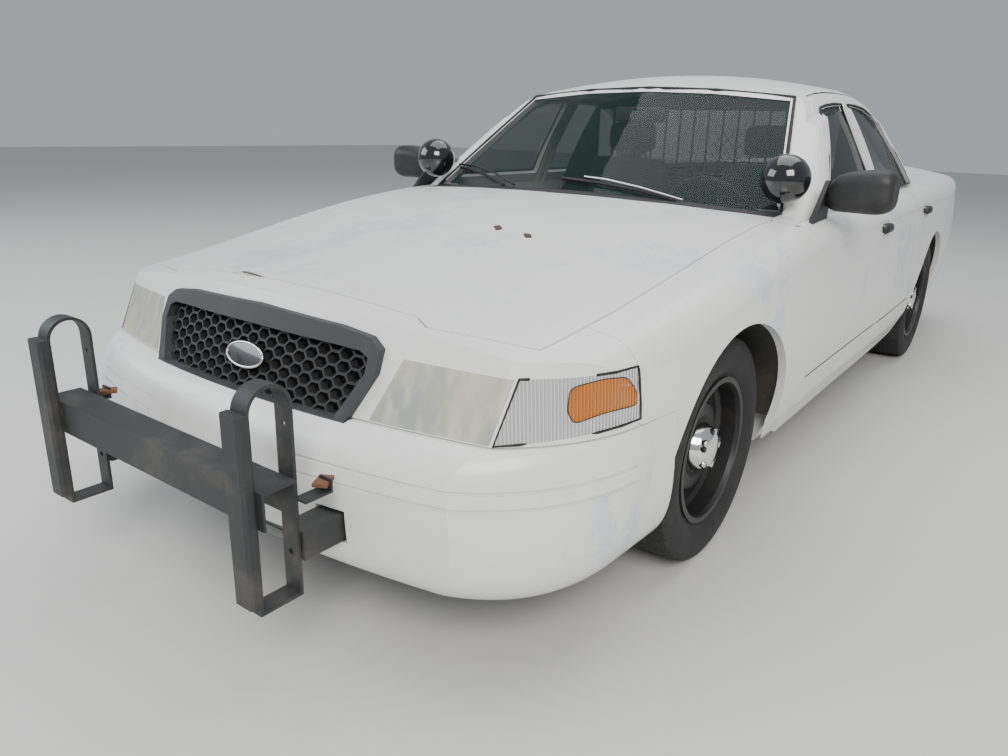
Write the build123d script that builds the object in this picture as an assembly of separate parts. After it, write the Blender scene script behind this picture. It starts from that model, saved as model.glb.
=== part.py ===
from build123d import *
import math
import os

# Police patrol car, a four-door saloon. It faces -Y, its left side is +X and the
# floor is z = 0. Stations are measured rearward from the front axle. Pieces that
# cross the middle plane are made as left halves and joined to their mirror image.

os.makedirs("parts", exist_ok=True)

# driving sizes, mm
PUSH_S = -1270.0        # front of the push bumper
REAR_S = 4329.0         # rear of the rear bumper
S_MID = (PUSH_S + REAR_S) / 2
WHEELBASE = 2913.0
TRACK_FRONT = 1610.0
TRACK_REAR = 1666.0
TYRE_R = 342.0
RIM_R = 216.0
HUB_Z = TYRE_R
ARCH_R = TYRE_R + 48.0
GAP = 5.0               # open gap between closed panels
SEAT = 0.3              # clearance of a seated piece
LID_SEAT = 0.9          # clearance under a curved lid or door that rests on its seal
SKIN = 25.0             # pressed panel with its inner frame
DOOR_T = 90.0           # whole lower door with its trim
FRAME_T = 45.0          # door frame and pillar depth above the belt
FLANGE_T = 14.0         # outer flange of a door
DOOR_STEP = 38.0        # inner part of a door, inset from its outline
APER_STEP = 18.0        # inner part of a door opening, inset from its outline
BELT_Z = 962.0
GLASS_T = 5.0
GLASS_SET = 16.0        # door glass behind the outer face
WIN_RIM = 50.0          # door frame seen around a side window
WIN_SILL = 28.0         # side window's lower edge above the belt
SCREEN_T = 6.0
SCREEN_SET = 3.0        # windscreen behind the outer face
SCREEN_LAP = 12.0       # glass held behind the body's edge
KINGPIN_X = 715.0
FLOOR_Z = 235.0
FLOOR_T = 20.0
PAN_Z = 400.0           # underside of the rear seat pan
PAN_T = 15.0
BOOT_Z = 500.0          # underside of the boot floor
FAR = 5000.0            # beyond every end of the car
OPEN_Z = 400.0          # how far a void runs on below the body
LEAST = 2.0e5           # smallest loose offcut that is kept, mm3

NODES = {}


def keep(name, shape):
    NODES[name] = shape


def at(x, s, z):
    return Vector(x, s - S_MID, z)


def block(x0, x1, s0, s1, z0, z1):
    mid = at((x0 + x1) / 2, (s0 + s1) / 2, (z0 + z1) / 2)
    return Pos(mid.X, mid.Y, mid.Z) * Box(x1 - x0, s1 - s0, z1 - z0)


def rod(p, q, r):
    a = at(*p)
    b = at(*q)
    d = b - a
    return Plane(origin=a, z_dir=d) * Cylinder(r, d.length, align=(Align.CENTER, Align.CENTER, Align.MIN))


def tube_x(x0, x1, s, z, r):
    return rod((x0, s, z), (x1, s, z), r)


def mirrored(shape):
    return mirror(shape, about=Plane.YZ)


def both(shape):
    return shape + mirrored(shape)


def large(shape):
    return Part([q for q in shape.solids() if q.volume > LEAST])


def carved(shape, *tools):
    # one cut after another is much quicker here than all in one
    for tool in tools:
        shape = shape.cut(tool)
    return shape


def side_prism(points, x0, x1):
    # outline in station and height, drawn out across the car
    face = make_face(Polyline(*[(s - S_MID, z) for s, z in points], close=True))
    return extrude(Plane(origin=(x0, 0, 0), x_dir=(0, 1, 0), z_dir=(1, 0, 0)) * face, amount=x1 - x0)


def front_prism(face, s0, s1):
    # face in x and height, drawn out along the car
    where = Plane(origin=(0, s1 - S_MID, 0), x_dir=(1, 0, 0), z_dir=(0, -1, 0))
    return extrude(where * face, amount=s1 - s0)


def plan_prism(points, z0, z1):
    # outline in x and station, drawn upward
    face = make_face(Polyline(*[(x, s - S_MID) for x, s in points], close=True))
    return extrude(Pos(0, 0, z0) * face, amount=z1 - z0)


def whole(points):
    # adds the mirror image of an open outline that starts on the middle plane's left
    return points + [(-x, v) for x, v in reversed(points) if x > 0]


def outline_face(points):
    return make_face(Polyline(*points, close=True))


def grown(points, amount):
    # moves each side of a closed outline outward by the amount
    count = len(points)
    area = 0.0
    for i in range(count):
        (ax, ay), (bx, by) = points[i], points[(i + 1) % count]
        area += ax * by - bx * ay
    turn = 1.0 if area > 0 else -1.0
    result = []
    for i in range(count):
        ax, ay = points[i - 1]
        bx, by = points[i]
        cx, cy = points[(i + 1) % count]
        la = math.hypot(bx - ax, by - ay)
        lb = math.hypot(cx - bx, cy - by)
        na = (turn * (by - ay) / la, -turn * (bx - ax) / la)
        nb = (turn * (cy - by) / lb, -turn * (cx - bx) / lb)
        share = 1 + na[0] * nb[0] + na[1] * nb[1]
        result.append((bx + amount * (na[0] + nb[0]) / share, by + amount * (na[1] + nb[1]) / share))
    return result


def half_mid(x, edge, centre):
    # middle of the half arc from (x, edge) to (0, centre), square to the middle plane
    h = centre - edge
    r = (x * x + h * h) / (2 * abs(h))
    turn = math.asin(min(1.0, x / r)) / 2
    return r * math.sin(turn), centre - math.copysign(r - r * math.cos(turn), h)


# Lower body: sections across the car.
# columns: station, bottom x z, rocker x z, side x z, shoulder x z,
# crown of the shoulder x z, top edge x z, centre z
LOWER = [
    (-1000, 800, 215, 850, 330, 880, 520, 868, 640, 850, 695, 800, 722, 785),
    (-541, 850, 215, 905, 330, 928, 560, 912, 690, 890, 755, 830, 785, 850),
    (0, 890, 215, 948, 330, 980, 600, 962, 780, 930, 850, 855, 877, 925),
    (600, 905, 215, 955, 330, 990, 590, 968, 850, 942, 925, 880, 950, 1000),
    (1200, 905, 215, 957, 330, 991, 600, 968, 875, 945, 942, 900, 964, 1010),
    (2400, 905, 215, 955, 330, 991, 600, 968, 885, 942, 957, 895, 982, 1045),
    (3000, 890, 232, 943, 340, 983, 620, 960, 885, 928, 965, 860, 993, 1062),
    (3600, 868, 252, 915, 352, 956, 620, 936, 885, 903, 965, 838, 990, 1062),
    (4330, 810, 285, 850, 375, 885, 610, 868, 850, 830, 940, 765, 965, 1022),
]
SHOULDER_DROP = 0.4     # share of the top inset that lowers the shoulder


def lower_ring(row, side, top, drop):
    s, xb, zb, xr, zr, xm, zm, xs, zs, xk, zk, xt, zt, zc = row
    zb = zb - drop
    xb, xr, xm, xs, xk, xt = xb - side, xr - side, xm - side, xs - side, xk - side, xt - side
    zk, zt, zc = zk - top, zt - top, zc - top
    zs = zs - SHOULDER_DROP * top
    mx, mz = half_mid(xt, zt, zc)
    edges = [
        Edge.make_line(at(0, s, zb), at(xb, s, zb)),
        Edge.make_line(at(xb, s, zb), at(xr, s, zr)),
        Edge.make_three_point_arc(at(xr, s, zr), at(xm, s, zm), at(xs, s, zs)),
        Edge.make_three_point_arc(at(xs, s, zs), at(xk, s, zk), at(xt, s, zt)),
        Edge.make_three_point_arc(at(xt, s, zt), at(mx, s, mz), at(0, s, zc)),
        Edge.make_line(at(0, s, zc), at(0, s, zb)),
    ]
    return Wire(edges)


def lower_body(side, top, drop):
    return Solid.make_loft([lower_ring(row, side, top, drop) for row in LOWER], ruled=False)


# Nose and tail in plan.
# columns: z, centre station, corner x s, cheek x s, side x s
NOSE = [
    (180, -1130, 740, -1040, 868, -850, 930, -660),
    (590, -959, 740, -870, 860, -735, 925, -540),
    (1300, -654, 740, -565, 845, -470, 890, -300),
]
TAIL = [
    (180, 4270, 700, 4200, 838, 4105, 925, 3900),
    (620, 4262, 700, 4192, 845, 4100, 932, 3900),
    (1300, 4105, 690, 4035, 830, 3955, 915, 3780),
]
NOSE_END = 4600.0
TAIL_END = -1600.0
SPLAY = 1400.0          # how far the trimming tools widen away from the nose or tail
CORNER_SHARE = 0.5      # corner's sideways share of an inset
CHEEK_SHARE = 0.7       # cheek's lengthwise share of an inset


def plan_ring(row, inset, end, sign, flare):
    z, sc, xf, sf, xk, sk, xe, se = row
    step = sign * inset
    sc, sf, sk = sc - step, sf - step, sk - CHEEK_SHARE * step
    xf, xk, xe = xf - CORNER_SHARE * inset, xk - inset, xe - inset
    mx, ms = half_mid(xf, sf, sc)
    edges = [
        Edge.make_three_point_arc(at(0, sc, z), at(mx, ms, z), at(xf, sf, z)),
        Edge.make_three_point_arc(at(xf, sf, z), at(xk, sk, z), at(xe, se, z)),
        Edge.make_line(at(xe, se, z), at(xe + flare, end, z)),
        Edge.make_line(at(xe + flare, end, z), at(0, end, z)),
        Edge.make_line(at(0, end, z), at(0, sc, z)),
    ]
    return Wire(edges)


def nose_tool(inset):
    return Solid.make_loft([plan_ring(row, inset, NOSE_END, -1, SPLAY) for row in NOSE], ruled=True)


def tail_tool(inset):
    return Solid.make_loft([plan_ring(row, inset, TAIL_END, 1, SPLAY) for row in TAIL], ruled=True)


def trimmed(side, top, drop, nose_inset, tail_inset):
    return lower_body(side, top, drop) & nose_tool(nose_inset) & tail_tool(tail_inset)


# Greenhouse: outlines in plan at three heights.
# columns: z, windscreen centre s, windscreen corner x s, pillar x s, side front x s,
# side middle x s, side rear x s, quarter x s, rear glass corner x s, rear glass centre s
GREEN = [
    (940, 516, 800, 680, 868, 706, 900, 800, 920, 1650, 895, 2480, 872, 2700, 780, 2845, 3100),
    (1220, 920, 700, 1040, 757, 1062, 784, 1115, 795, 1650, 775, 2270, 760, 2370, 690, 2449, 2631),
    (1500, 1340, 575, 1410, 588, 1418, 598, 1440, 610, 1650, 590, 2080, 583, 2098, 560, 2110, 2153),
]
# Roof: sections across the car.
# columns: station, z at the cap's side, centre z
CAP = [
    (400, 1100, 1160),
    (900, 1280, 1340),
    (1200, 1348, 1411),
    (1430, 1385, 1463),
    (1667, 1398, 1485),
    (1950, 1392, 1478),
    (2290, 1350, 1424),
    (2700, 1200, 1260),
    (3200, 1000, 1060),
]
CAP_X = 740.0
ROOF_EDGE_X = 605.0     # where the roof begins to round over
ROOF_KNEE = (660.0, 11.0)
ROOF_RAIL = (706.0, 56.0)
CAP_FOOT_Z = 500.0
CAP_SIDE = 340.0
CAP_FALL = 150.0


def green_ring(row, side, glass):
    z, wc, wx, ws, px, ps, ax, a_s, mx, ms, rx, rs, qx, qs, gx, gs, gc = row
    wc, ws, gs, gc = wc + glass, ws + glass, gs - glass, gc - glass
    ps, qs = ps + 0.7 * glass, qs - 0.7 * glass
    wx, gx = wx - 0.6 * side, gx - 0.6 * side
    px, qx, ax, mx, rx = px - 0.8 * side, qx - 0.8 * side, ax - side, mx - side, rx - side
    fx, fs = half_mid(wx, ws, wc)
    bx, bs = half_mid(gx, gs, gc)
    edges = [
        Edge.make_three_point_arc(at(0, wc, z), at(fx, fs, z), at(wx, ws, z)),
        Edge.make_three_point_arc(at(wx, ws, z), at(px, ps, z), at(ax, a_s, z)),
        Edge.make_three_point_arc(at(ax, a_s, z), at(mx, ms, z), at(rx, rs, z)),
        Edge.make_three_point_arc(at(rx, rs, z), at(qx, qs, z), at(gx, gs, z)),
        Edge.make_three_point_arc(at(gx, gs, z), at(bx, bs, z), at(0, gc, z)),
        Edge.make_line(at(0, gc, z), at(0, wc, z)),
    ]
    return Wire(edges)


def cap_ring(row, top):
    s, side_z, centre_z = row
    foot = CAP_FOOT_Z

    def crown(x, fall):
        return at(x, s, centre_z - top - fall - (centre_z - side_z) * (x / CAP_X) ** 2)

    edge = crown(ROOF_EDGE_X, 0)
    knee = crown(*ROOF_KNEE)
    rail = crown(*ROOF_RAIL)
    mx, mz = half_mid(ROOF_EDGE_X, edge.Z, centre_z - top)
    wide = ROOF_RAIL[0] + CAP_SIDE
    low = at(wide, s, rail.Z - CAP_FALL)
    edges = [
        Edge.make_line(at(0, s, foot), at(wide, s, foot)),
        Edge.make_line(at(wide, s, foot), low),
        Edge.make_line(low, rail),
        Edge.make_three_point_arc(rail, knee, edge),
        Edge.make_three_point_arc(edge, at(mx, s, mz), at(0, s, centre_z - top)),
        Edge.make_line(at(0, s, centre_z - top), at(0, s, foot)),
    ]
    return Wire(edges)


def greenhouse(inset):
    walls = Solid.make_loft([green_ring(row, inset, inset) for row in GREEN], ruled=False)
    cap = Solid.make_loft([cap_ring(row, inset) for row in CAP], ruled=False)
    return walls & cap


# outer shape and the voids inside it
lower_outer = trimmed(0, 0, 0, 0, 0)
inner_skin = trimmed(SKIN, SKIN, OPEN_Z, SKIN, SKIN)
lower_skin = lower_outer.cut(inner_skin)
green_outer = greenhouse(0)
green_inner = greenhouse(FRAME_T)
body = lower_outer + green_outer
thick_void = lower_body(DOOR_T, SKIN, OPEN_Z)
cabin_plan = green_ring(GREEN[0], FRAME_T, FRAME_T)
HOLE_TOP = 5.0          # cabin hole's overlap with the greenhouse void
cabin_hole = Solid.make_loft([
    cabin_plan.moved(Location((0, 0, HOLE_TOP))),
    cabin_plan.moved(Location((0, 0, -BELT_Z / 2))),
], ruled=True)


def glass_layer(depth, thick):
    return greenhouse(depth).cut(greenhouse(depth + thick))


# Door outlines seen from the side: station, z.
FRONT_DOOR = [
    (602, 300), (602, 940), (640, 958), (822, 964), (1302, 1376), (1400, 1391), (1500, 1399),
    (1652, 1404), (1652, 300),
]
REAR_DOOR = [
    (1660, 300), (1660, 1404), (1850, 1403), (2010, 1394), (2150, 1364), (2230, 1326), (2545, 1000),
    (2580, 900), (2570, 780), (2500, 640), (2470, 500), (2455, 300),
]
# outline of the space that doors take up seen from the front: x, z
DOOR_SPACE = [(820, 100), (1300, 100), (1300, 1600), (560, 1600), (560, 1330), (820, 1000)]
SIDE_X0 = 560.0
SIDE_X1 = 1300.0
SEAL_Z = ((588.0, 612.0), (842.0, 858.0))   # door bump stops on the centre pillar
SEAL_S = ((1638.0, 1648.0), (1664.0, 1674.0))


def side_outline(points, amount):
    return side_prism(grown(points, amount), SIDE_X0, SIDE_X1)


def window_prism(points, rim):
    above = block(SIDE_X0, SIDE_X1, 0, FAR, BELT_Z + WIN_SILL + WIN_RIM - rim, 1600)
    return side_outline(points, -rim) & above


# foot of the windscreen pillar, which stays on the body inboard of the door
FOOT_X = 878.0
FOOT_S = 765.0
FOOT_Z = 920.0
foot = block(0, FOOT_X, 0, FOOT_S, FOOT_Z, 1600)
foot_room = block(0, FOOT_X + GAP, 0, FOOT_S + GAP, FOOT_Z - GAP, 1600)
door_space = front_prism(outline_face(DOOR_SPACE), 0, WHEELBASE) - foot_room
side_glass = glass_layer(GLASS_SET, GLASS_T)
flange_low = lower_body(FLANGE_T, FLANGE_T, OPEN_Z)
flange_high = greenhouse(FLANGE_T)
step_low = lower_body(FLANGE_T + GAP, FLANGE_T + GAP, OPEN_Z)
step_high = greenhouse(FLANGE_T + GAP)
seal_face = lower_body(FLANGE_T + LID_SEAT, FLANGE_T + LID_SEAT, OPEN_Z)
seals = [seal_face & block(SIDE_X0, SIDE_X1, s0, s1, z0, z1) for s0, s1 in SEAL_S for z0, z1 in SEAL_Z]
doors = {}
door_glass = {}
door_cuts = []
for name, outline in (("front", FRONT_DOOR), ("rear", REAR_DOOR)):
    edge_ring = side_outline(outline, 50) - side_outline(outline, -DOOR_STEP)
    glass = side_glass & window_prism(outline, WIN_RIM - 10)
    space = side_outline(outline, 0) & door_space
    doors[name] = large(carved(
        body & space, thick_void, cabin_hole, green_inner, window_prism(outline, WIN_RIM), glass,
        flange_low & edge_ring, flange_high & edge_ring,
    ))
    door_glass[name] = glass
    door_cuts.append(side_outline(outline, -APER_STEP) - foot)
    door_cuts.append(side_outline(outline, GAP).cut(step_low, step_high, foot, *seals))

# Bonnet and boot outlines in plan: x, station.
HOOD_FRONT = [(0, -779), (300, -777), (446, -771), (503, -801), (752, -712)]
HOOD_SIDE = [(771, -400), (785, 0), (795, 635)]
HOOD_REAR = [(600, 578), (300, 528), (0, 511)]
HOOD_T = 28.0
HOOD_Z = (700.0, 1100.0)
TRUNK_FRONT = 3140.0
TRUNK_HALF = 735.0
TRUNK_SILL_Z = 760.0
TRUNK_PLAN = [(0, TRUNK_FRONT), (600, TRUNK_FRONT - 20), (TRUNK_HALF, TRUNK_FRONT + 30), (TRUNK_HALF, 4400)]
TRUNK_TOP_Z = 1260.0
hood_plan = whole(HOOD_FRONT + HOOD_SIDE + HOOD_REAR)
hood_gap = plan_prism(grown(hood_plan, GAP), HOOD_Z[0] - 100, HOOD_Z[1])
trunk_plan = whole(TRUNK_PLAN)
trunk_gap = plan_prism(grown(trunk_plan, GAP), TRUNK_SILL_Z - GAP, TRUNK_TOP_Z)
hood = (lower_outer & plan_prism(hood_plan, *HOOD_Z)).cut(lower_body(HOOD_T, HOOD_T, OPEN_Z))
keep("hood", both(hood))
keep("trunk_lid", both(lower_skin & plan_prism(trunk_plan, TRUNK_SILL_Z, TRUNK_TOP_Z)))

# front wings
BUMPER_TOP_Z = 586.0
SEAM = 3.0              # seam between a bumper cover and the panels above it
LAMP_REAR_S = -541.0
DOOR_FRONT_S = 602.0
FRONT_COVER_END = -395.0
WING_X = 700.0
POST_S = 470.0
arch_front = tube_x(300, SIDE_X1, 0, HUB_Z, ARCH_R) + block(300, SIDE_X1, -ARCH_R, ARCH_R, 0, HUB_Z)
arch_rear = tube_x(SIDE_X0, SIDE_X1, WHEELBASE, HUB_Z, ARCH_R)
arch_rear = arch_rear + block(SIDE_X0, SIDE_X1, WHEELBASE - ARCH_R, WHEELBASE + ARCH_R, 0, HUB_Z)
wing = (lower_skin & block(WING_X, SIDE_X1, LAMP_REAR_S, DOOR_FRONT_S - GAP, 150, 1200)).cut(
    block(WING_X, SIDE_X1, -900, FRONT_COVER_END, 0, BUMPER_TOP_Z + SEAM),
    hood_gap, arch_front, block(WING_X, 900, 560, 900, 900, 1200),
)
keep("fenders", both(large(wing)))

# body side with pillars, sill, roof rail and rear quarter
THICK_END = 2640.0
ROOF_X = 575.0
DECK_X = 740.0
DECK_FRONT = 2600.0
LAMP_ZONE = (743, 1000, 3980, 4400, 720, 900)
REAR_COVER_END = 3308.0
REAR_COVER_TOP = 580.0
SCREEN_FRONT = [(772, 975), (613, 1358), (300, 1384), (0, 1393)]
SCREEN_REAR = [(745, 1000), (596, 1352), (300, 1385), (0, 1396)]
SCREEN_FRONT_S = (300, 1500)
SCREEN_REAR_S = (2000, 3300)
screen_layer = glass_layer(SCREEN_SET, SCREEN_T)


def screen_prism(points, lap, span):
    return front_prism(outline_face(grown(whole(points), lap)), *span)


windshield = screen_layer & screen_prism(SCREEN_FRONT, SCREEN_LAP, SCREEN_FRONT_S)
rear_window = screen_layer & screen_prism(SCREEN_REAR, SCREEN_LAP, SCREEN_REAR_S)
keep("windshield", both(windshield))
keep("rear_window", both(rear_window))
screens = [
    windshield, rear_window,
    screen_prism(SCREEN_FRONT, 0, SCREEN_FRONT_S), screen_prism(SCREEN_REAR, 0, SCREEN_REAR_S),
]
lamp_zone = block(*LAMP_ZONE)
COWL_X = 792.0
COWL_S = 740.0
side = (body & block(ROOF_X, SIDE_X1, DOOR_FRONT_S, FAR, 100, 1600)).cut(
    block(0, COWL_X, 0, COWL_S, 0, 1010),
    block(0, DECK_X, DECK_FRONT, FAR, 0, 1250),
    block(0, TRUNK_HALF + 8, 3900, FAR, 0, 1600),
    block(0, SIDE_X1, REAR_COVER_END - GAP, FAR, 0, REAR_COVER_TOP + SEAM),
    lamp_zone, arch_rear,
)
side = carved(
    side, thick_void & block(0, SIDE_X1, 0, THICK_END, -FAR, 1600),
    inner_skin & block(0, SIDE_X1, THICK_END, FAR, -FAR, 1600),
    cabin_hole, green_inner, trunk_gap, hood_gap, *screens, *door_cuts,
)
post = lower_body(SKIN + GAP, SKIN + GAP, 0) & block(0, SIDE_X1, POST_S, DOOR_FRONT_S, 215, 900)
post = post.cut(thick_void)
keep("body_sides", both(large(side + post)))
roof = carved(green_outer & block(0, ROOF_X, 1150, 2330, 1330, 1700), green_inner, *screens)
keep("roof_panel", both(large(roof)))

# tail lamps, rear deck with its drip channel, and tail panel
TAIL_LAMP_T = 45.0
CHANNEL_T = 8.0
CHANNEL_S = (3085.0, 3108.0, 3165.0)
CHANNEL_X = 690.0
LID_ROOM = 4.0          # open height between the drip channel and the closed lid
LID_STOP_X = 300.0      # bump stops on the channel's floor
LID_STOP_S = 3148.0
LID_STOP_R = 9.0
TAIL_WALL_X = 560.0
keep("tail_lamps", both((lower_outer & lamp_zone).cut(
    trimmed(TAIL_LAMP_T, TAIL_LAMP_T, OPEN_Z, TAIL_LAMP_T, TAIL_LAMP_T))))
deck = lower_skin & block(0, DECK_X, THICK_END, TRUNK_FRONT, 850, 1250)
deck = deck.cut(trunk_gap, green_inner, rear_window)
under_lid = lower_body(SKIN + LID_ROOM, SKIN + LID_ROOM, 0)
under_lid = under_lid & block(0, CHANNEL_X, CHANNEL_S[0], CHANNEL_S[2], 850, 1250)
lid_stop = rod((LID_STOP_X, LID_STOP_S, 950), (LID_STOP_X, LID_STOP_S, 1200), LID_STOP_R)
lid_stop = lid_stop & lower_body(SKIN + LID_SEAT, SKIN + LID_SEAT, 0)
under_deck = lower_body(SKIN - CHANNEL_T / 2, SKIN - CHANNEL_T / 2, 0)
under_deck = under_deck & block(0, CHANNEL_X, CHANNEL_S[0], CHANNEL_S[1], 850, 1250)
channel = (under_lid + under_deck + lid_stop).cut(lower_body(SKIN + CHANNEL_T, SKIN + CHANNEL_T, OPEN_Z))
tail_panel = lower_skin & block(0, TRUNK_HALF + 8, 4000, FAR, REAR_COVER_TOP + SEAM, TRUNK_SILL_Z - GAP)
tail_wall = lower_skin & block(0, TAIL_WALL_X, 4000, FAR, BOOT_Z, REAR_COVER_TOP + SEAM)
keep("rear_deck", both(large(deck + channel) + large(tail_panel + tail_wall)))

# Front end: outlines seen from the front, x and z.
LAMP_T = 42.0
HEAD_LAMP = [(436, 591), (738, 591), (752, 727), (484, 731)]
CORNER_LAMP = [(745, 591), (960, 608), (960, 728), (759, 727)]
GRILLE_OUT = [(0, 558), (375, 558), (433, 690), (430, 745), (395, 768), (300, 780), (0, 790)]
GRILLE_IN = [(0, 583), (350, 583), (405, 690), (402, 725), (375, 737), (300, 740), (0, 743)]
LAMP_S = (-1150, -600)
SURROUND_PROUD = 18.0
SURROUND_DEEP = 14.0
MESH_FACE = 2.0
MESH_DEEP = 22.0
CELL_W = 48.0           # honeycomb cell with its bar
CELL_H = 30.0
CELL_BAR = 6.0
CELL_ROWS = 14
CELL_COLUMNS = 12


def honeycomb(points):
    # outline less staggered rows of flattened six-sided cells
    cells = []
    w = CELL_W - CELL_BAR
    h = CELL_H - CELL_BAR
    cell = outline_face([
        (-w / 2, 0), (-w / 4, -h / 2), (w / 4, -h / 2), (w / 2, 0), (w / 4, h / 2), (-w / 4, h / 2),
    ])
    low = points[0][1]
    for row in range(CELL_ROWS):
        for column in range(row % 2, CELL_COLUMNS, 2):
            cells.append(Pos(column * CELL_W * 0.75, low + row * CELL_H / 2) * cell)
    return outline_face(points) - cells


front_skin = (lower_outer & block(0, SIDE_X1, -FAR, LAMP_REAR_S, BOOT_Z, 900)).cut(
    trimmed(LAMP_T, LAMP_T, OPEN_Z, LAMP_T, 0))
head_tool = front_prism(outline_face(HEAD_LAMP), *LAMP_S)
corner_tool = front_prism(outline_face(CORNER_LAMP), LAMP_S[0], LAMP_REAR_S)
grille_out = front_prism(outline_face(GRILLE_OUT), *LAMP_S)
keep("headlamps", both(front_skin & head_tool))
keep("corner_lamps", both(front_skin & corner_tool))
header = front_skin.cut(
    block(0, SIDE_X1, -FAR, 0, 0, BUMPER_TOP_Z + SEAM), block(0, SIDE_X1, LAMP_REAR_S - 2, 0, 0, 900),
    hood_gap, grille_out, head_tool, corner_tool,
)
keep("header_panel", both(large(header)))
surround = (nose_tool(-SURROUND_PROUD) - nose_tool(SURROUND_DEEP)) & grille_out
surround = surround.cut(front_prism(outline_face(GRILLE_IN), *LAMP_S), hood_gap)
mesh = (nose_tool(MESH_FACE) - nose_tool(MESH_DEEP)) & front_prism(honeycomb(GRILLE_IN), *LAMP_S)
keep("grille_surround", both(surround))
keep("grille_mesh", both(mesh))

# Bumper covers.
# columns: z, centre station, corner x s, cheek x s, side x s
FRONT_BUMPER = [
    (205, -965, 640, -905, 790, -800, 858, -640),
    (300, -1050, 700, -960, 868, -800, 935, -560),
    (450, -1060, 705, -968, 880, -790, 948, -500),
    (540, -1036, 706, -948, 874, -772, 940, -490),
    (586, -972, 736, -884, 864, -742, 930, -535),
]
REAR_BUMPER = [
    (265, 4235, 620, 4180, 790, 4080, 850, 3900),
    (380, 4318, 680, 4240, 845, 4120, 915, 3880),
    (500, 4325, 690, 4248, 852, 4125, 922, 3880),
    (REAR_COVER_TOP, 4300, 690, 4225, 848, 4110, 918, 3880),
]
COVER_T = 28.0
FRONT_FLARE = 8.0
REAR_FLARE = 40.0
GROOVE_DEEP = 5.0
GROOVES = ((462.0, 470.0), (500.0, 508.0))
GROOVE_X = 300.0
INTAKE = (0, 330, -1200, -800, 240, 300)
MOUNT_HALF = 42.0


def cover_solid(rows, inset, end, sign, flare, beyond):
    low = (rows[0][0] - beyond,) + rows[0][1:]
    high = (rows[-1][0] + beyond,) + rows[-1][1:]
    rings = [low] + rows[1:-1] + [high]
    return Solid.make_loft([plan_ring(row, inset, end, sign, flare) for row in rings], ruled=False)


front_cover = cover_solid(FRONT_BUMPER, 0, FRONT_COVER_END, -1, FRONT_FLARE, 0)
groove_core = cover_solid(FRONT_BUMPER, GROOVE_DEEP, 0, -1, FRONT_FLARE, 0)
surround_edge = front_prism(outline_face(grown(GRILLE_OUT, SEAM)), *LAMP_S)
surround_room = nose_tool(-SURROUND_PROUD - SEAM) & surround_edge
groove_bands = [block(GROOVE_X, SIDE_X1, -FAR, -560, z0, z1).cut(groove_core) for z0, z1 in GROOVES]
PAD_X = 407.0
MOUNT_Z = (325.0, 395.0)
front_cover = front_cover.cut(
    cover_solid(FRONT_BUMPER, COVER_T, 0, -1, FRONT_FLARE, GAP), arch_front, block(*INTAKE),
    block(PAD_X - MOUNT_HALF, PAD_X + MOUNT_HALF, -1200, -880, MOUNT_Z[0] - 7, MOUNT_Z[1] + 7),
    surround_room, *groove_bands,
)
rear_cover = cover_solid(REAR_BUMPER, 0, REAR_COVER_END, 1, REAR_FLARE, 0)
rear_cover = rear_cover.cut(cover_solid(REAR_BUMPER, COVER_T, WHEELBASE, 1, REAR_FLARE, GAP), arch_rear)
keep("front_bumper", both(large(front_cover)))
keep("rear_bumper", both(large(rear_cover)))

# push bumper: upright pads, bent straps and a cross channel
PAD_W = 62.0
PAD_Z = (265.0, 693.0)
STRAP_T = 8.0
STRAP_W = 50.0
STRAP_FRONT = PUSH_S + 25.0
STRAP_REAR = STRAP_FRONT + 112.0
STRAP_Z = (238.0, 742.0)
STRAP_HOLE_R = 7.0
CHANNEL_BAR_Z = (442.0, 528.0)
CHANNEL_BAR_S = (STRAP_FRONT + STRAP_T, STRAP_FRONT + 95.0)
CHANNEL_BAR_T = 6.0
CHANNEL_END = 46.0
HOOK_X = (440.0, 478.0)


def strap_solid(inset, half_w):
    front = STRAP_FRONT + inset - S_MID
    rear = STRAP_REAR - inset - S_MID
    low = STRAP_Z[0] + inset
    spring = STRAP_Z[1] - (STRAP_REAR - STRAP_FRONT) / 2
    edges = Polyline((front, spring), (front, low), (rear, low), (rear, spring))
    top = ThreePointArc((rear, spring), ((front + rear) / 2, STRAP_Z[1] - inset), (front, spring))
    where = Plane(origin=(PAD_X - half_w, 0, 0), x_dir=(0, 1, 0), z_dir=(1, 0, 0))
    return extrude(where * make_face([*edges.edges(), top]), amount=2 * half_w)


pad = block(PAD_X - PAD_W / 2, PAD_X + PAD_W / 2, PUSH_S, STRAP_FRONT, *PAD_Z)
pad = chamfer(pad.edges().filter_by(Axis.Z).group_by(Axis.Y)[0], 7)
strap = strap_solid(0, STRAP_W / 2) - strap_solid(STRAP_T, STRAP_W)
for z in (340, 440, 640):
    strap = strap - rod((PAD_X, STRAP_REAR - 30, z), (PAD_X, STRAP_REAR + 10, z), STRAP_HOLE_R)
bar_z0, bar_z1 = CHANNEL_BAR_Z
bar_s0, bar_s1 = CHANNEL_BAR_S
channel_bar = block(0, PAD_X + CHANNEL_END, bar_s0, bar_s1, bar_z0, bar_z1)
channel_bar = channel_bar - block(
    -1, PAD_X + CHANNEL_END + 1, bar_s0 + CHANNEL_BAR_T, bar_s1 - CHANNEL_BAR_T,
    bar_z0 - 1, bar_z1 - CHANNEL_BAR_T,
)
mount = block(PAD_X - 35, PAD_X + 35, STRAP_REAR, -940, *MOUNT_Z)
mount = mount - block(PAD_X - 27, PAD_X + 27, STRAP_REAR - 5, -935, MOUNT_Z[0] + 8, MOUNT_Z[1] - 8)
hook = block(*HOOK_X, bar_s1, -1076, 480, 485) + block(*HOOK_X, -1081, -1076, 480, 512)
keep("push_bumper", both(pad + strap + channel_bar + mount + hook))

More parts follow.
